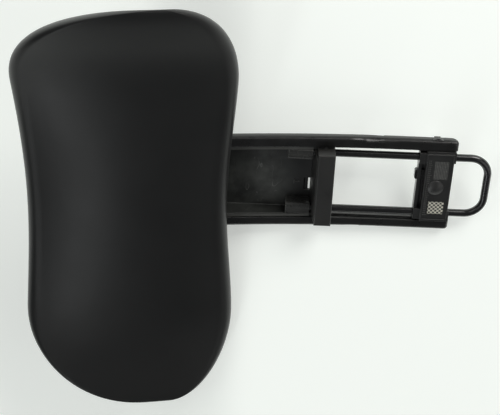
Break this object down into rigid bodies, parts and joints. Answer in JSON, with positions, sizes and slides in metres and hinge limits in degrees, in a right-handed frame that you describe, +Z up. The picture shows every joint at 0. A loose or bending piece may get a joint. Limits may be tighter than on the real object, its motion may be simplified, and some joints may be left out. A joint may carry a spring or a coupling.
{
  "type": "chair headrest attachment",
  "caption": "Winged headrest pad on a tilting hinge, carried by a twin-rail stem that slides on a U-shaped guide rod held in an anchor block.",
  "frame": {"origin": "on the axis of the anchor block's threaded insert, in the plane of the guide rod's two legs", "axes": "+X to the sitter's left, +Y backwards out of the anchor's back face, +Z up along the guide rod towards the pad"},
  "size_m": [0.277, 0.0778, 0.2995],
  "materials": {
    "soft_pad": "matt",
    "satin_black": "satin",
    "pan_black": "fine texture",
    "black_steel": "gloss",
    "plated_steel": "zinc plated",
    "brass": "turned",
    "acetal": "smooth",
    "blank_label": "satin"
  },
  "bodies": {
    "anchor": {"anchor_block": "satin_black", "anchor_back_plate": "plated_steel", "anchor_plate_screws": "plated_steel", "anchor_insert": "brass", "rod_set_screws": "plated_steel", "anchor_dome": "satin_black", "anchor_label": "blank_label", "guide_rod": "black_steel", "rod_end_caps": "acetal", "catch_spring": "plated_steel"},
    "catch": {"catch_button": "acetal"},
    "stem": {"rail_left": "satin_black", "rail_right": "satin_black", "rail_stop_pegs": "acetal", "stem_pan": "pan_black", "cross_band": "satin_black", "band_screws": "plated_steel", "rod_guides": "satin_black", "rod_sleeves": "acetal", "pan_cover": "satin_black", "pan_cover_screws": "plated_steel", "stem_head": "satin_black", "head_screws": "plated_steel"},
    "pad": {"pad_foam": "soft_pad", "pad_core_plate": "satin_black", "pad_rear_cover": "satin_black", "rear_cover_screws": "plated_steel", "hinge_bracket": "black_steel", "bracket_screws": "plated_steel", "hinge_pin": "plated_steel", "hinge_washers": "acetal", "pin_clips": "plated_steel"}
  },
  "joints": [
    {"name": "height_slide", "type": "slide", "parent": "anchor", "child": "stem", "axis": [0, 0, 1], "range_m": [-0.05, 0]},
    {"name": "pad_tilt", "type": "hinge", "parent": "stem", "child": "pad", "pos_m": [0, -0.011, 0.1895], "axis": [1, 0, 0], "range_deg": [-25, 3]},
    {"name": "catch_press", "type": "slide", "parent": "anchor", "child": "catch", "axis": [0, 0, -1], "range_m": [0, 0.002], "stiffness_N_per_m": 400, "springref_m": -0.0005, "deforming": ["catch_spring"]}
  ]
}
